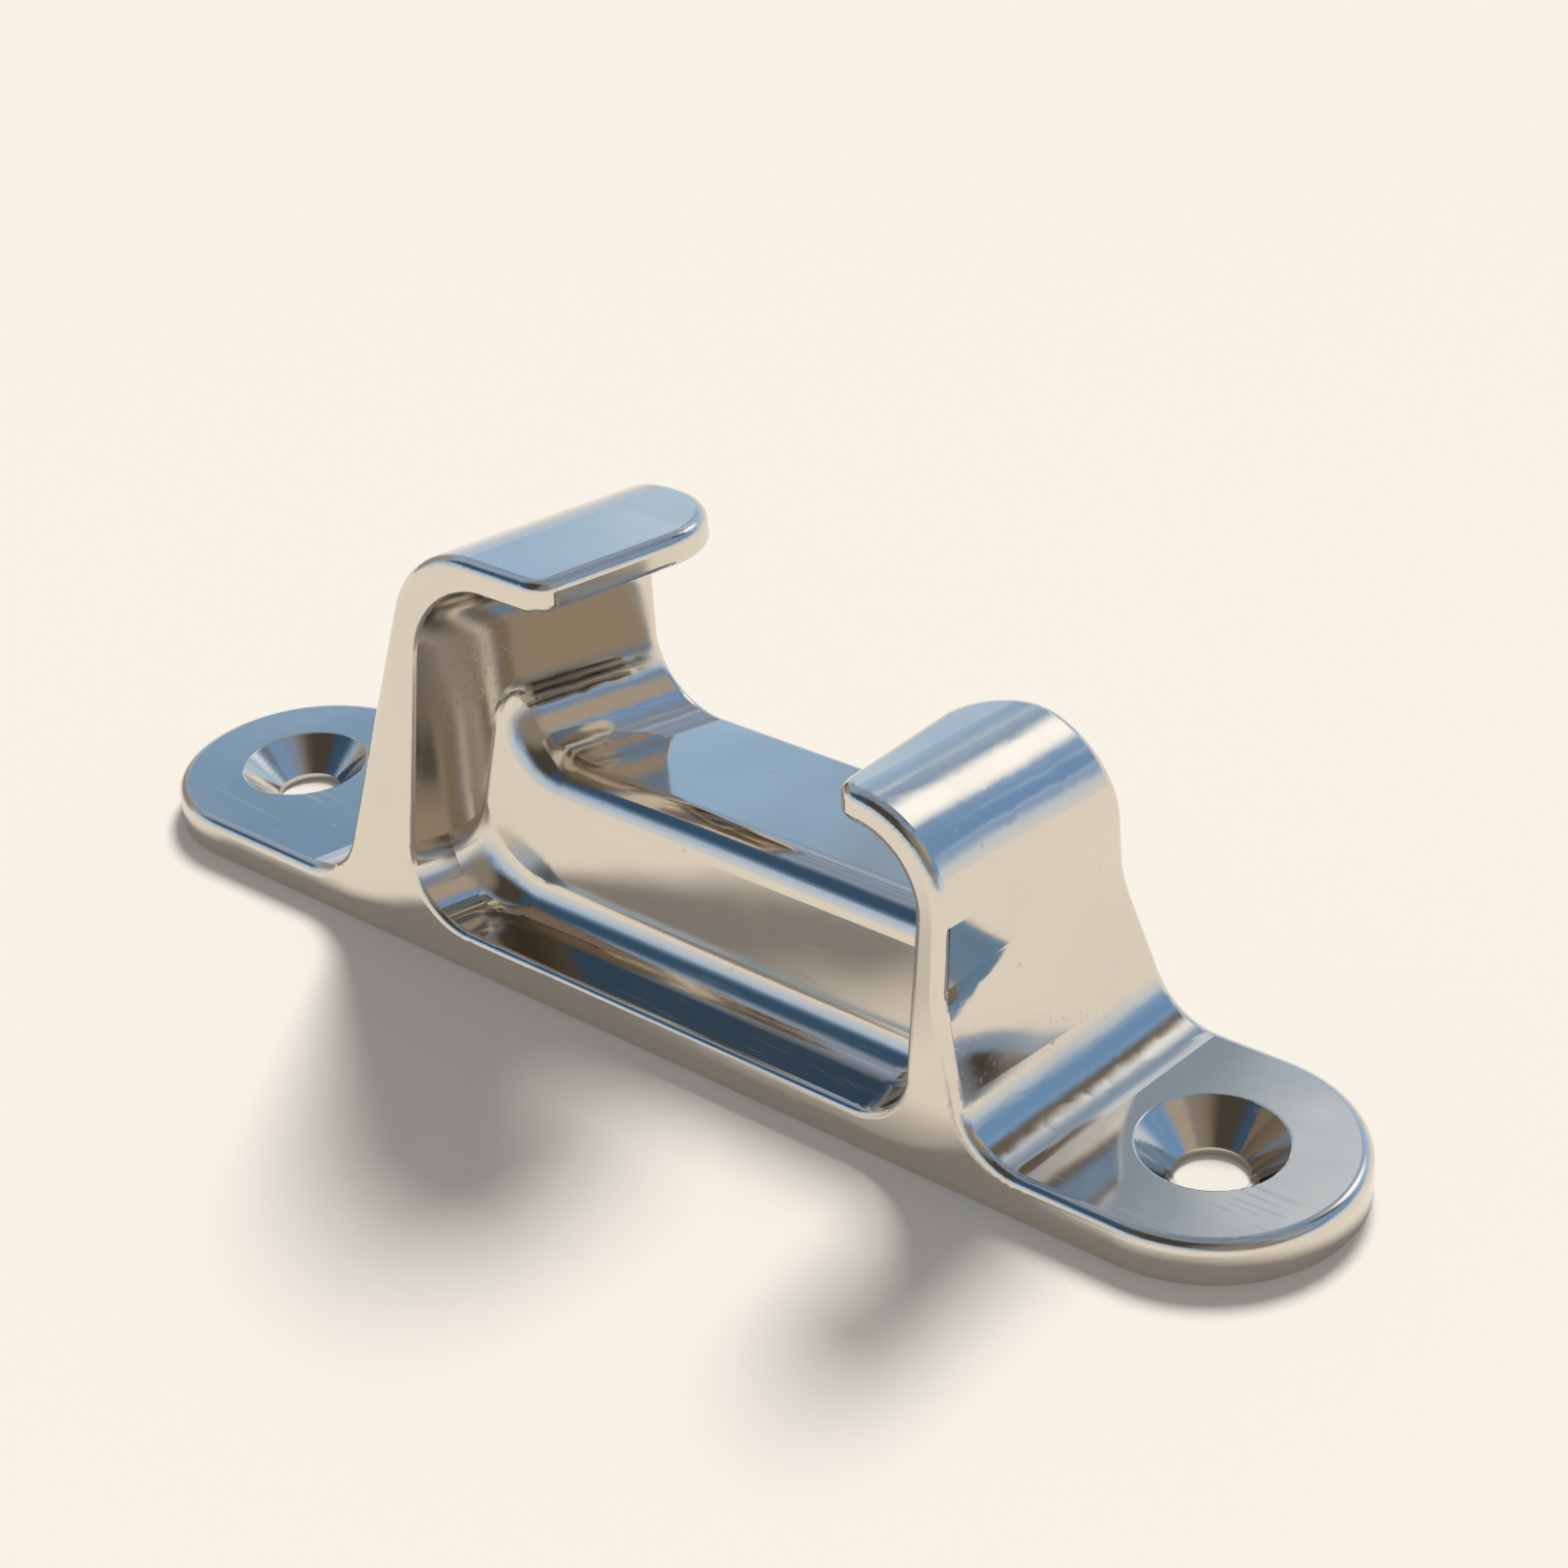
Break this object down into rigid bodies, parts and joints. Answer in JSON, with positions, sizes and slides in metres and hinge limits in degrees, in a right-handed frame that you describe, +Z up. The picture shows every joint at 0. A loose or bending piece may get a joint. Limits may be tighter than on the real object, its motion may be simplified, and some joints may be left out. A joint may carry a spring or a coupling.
{
  "type": "bow chock",
  "caption": "Open deck fairlead cast in one piece: a long screw-down plate with a tall and a low horn curling towards each other over a rounded throat that leads a mooring line.",
  "frame": {"origin": "on the plate's underside, midway between the two screw holes", "axes": "+X along the plate from the tall horn to the low horn, +Y inboard, +Z up from the deck"},
  "size_m": [0.1514, 0.03, 0.0473],
  "materials": {
    "polished_steel": "mirror polished"
  },
  "bodies": {
    "root": {"bow_chock": "polished_steel"}
  },
  "joints": []
}
